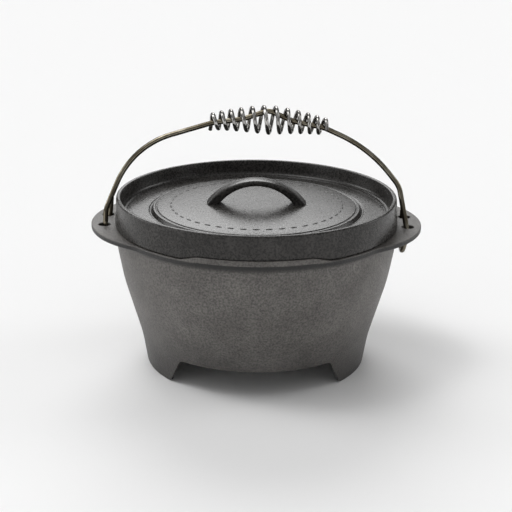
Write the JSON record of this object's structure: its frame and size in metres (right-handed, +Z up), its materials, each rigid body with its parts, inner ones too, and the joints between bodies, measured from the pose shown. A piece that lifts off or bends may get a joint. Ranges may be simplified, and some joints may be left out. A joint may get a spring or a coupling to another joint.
{
  "type": "camp dutch oven",
  "caption": "Cast-iron camp dutch oven on skirt feet, with a flat-rimmed lid under a strap loop and a bent wire bail that carries a wound coil grip between eared flanges.",
  "frame": {"origin": "on the ground under the pot's centre, at the middle of the bottom of the bounding box", "axes": "+Z up, +X through the ears to the right as seen from the front, -Y towards the viewer in the picture; the bail leans back towards +Y"},
  "size_m": [0.386, 0.3334, 0.3014],
  "materials": {
    "pot_iron": "seasoned sand-cast iron with a fine grain",
    "lid_iron": "seasoned sand-cast iron with a fine grain",
    "bail_wire": "bent steel wire with a brassy plated sheen",
    "coil_wire": "polished spring wire"
  },
  "bodies": {
    "pot": {"pot": "pot_iron"},
    "lid": {"lid": "lid_iron"},
    "bail": {"bail": "bail_wire", "grip_coil": "coil_wire"}
  },
  "joints": [
    {"name": "bail_swing", "type": "hinge", "parent": "pot", "child": "bail", "pos_m": [0, 0, 0.165], "axis": [1, 0, 0], "range_deg": [0, 24]},
    {"name": "lid_draw", "type": "slide", "parent": "pot", "child": "lid", "axis": [0, -0.9962, 0.0872], "range_m": [0, 0.35]}
  ]
}
